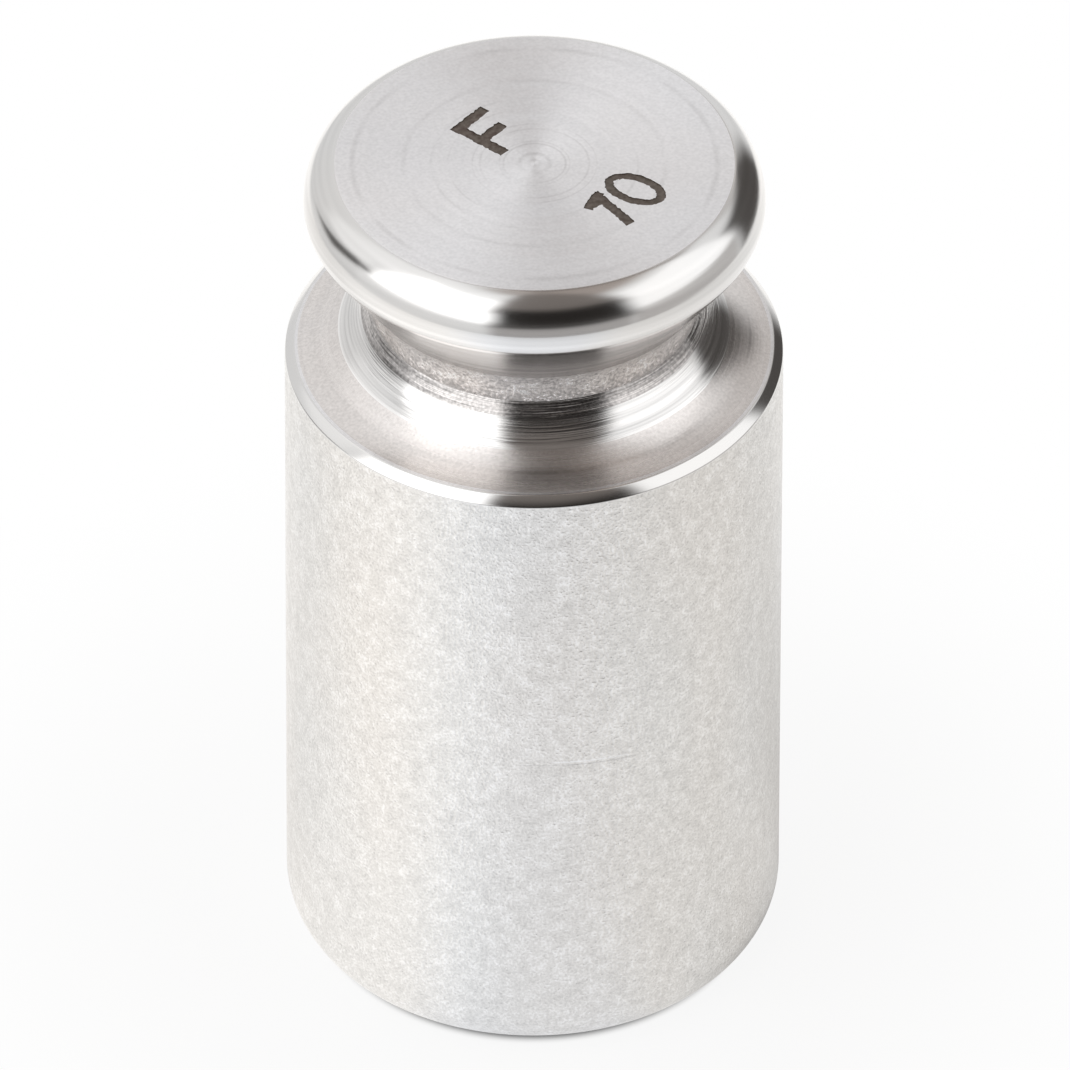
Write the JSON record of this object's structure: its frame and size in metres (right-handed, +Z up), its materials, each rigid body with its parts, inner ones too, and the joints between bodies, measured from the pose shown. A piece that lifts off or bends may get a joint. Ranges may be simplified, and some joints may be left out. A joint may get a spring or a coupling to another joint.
{
  "type": "calibration weight",
  "caption": "Turned steel knob weight for a laboratory balance: plain cylindrical body, waisted neck and a flat-topped round lifting knob.",
  "frame": {"origin": "centre of the flat foot that the weight stands on", "axes": "+Z up along the axis of the turning, from the foot to the knob; +X and +Y are square to it, with -Y towards the viewer who reads the marks on the knob's face"},
  "size_m": [0.0098, 0.0098, 0.0189],
  "materials": {
    "stainless_steel": "turned: satin side, polished rim and edges, ring-turned face and shoulder"
  },
  "bodies": {
    "root": {"knob_weight": "stainless_steel"}
  },
  "joints": []
}
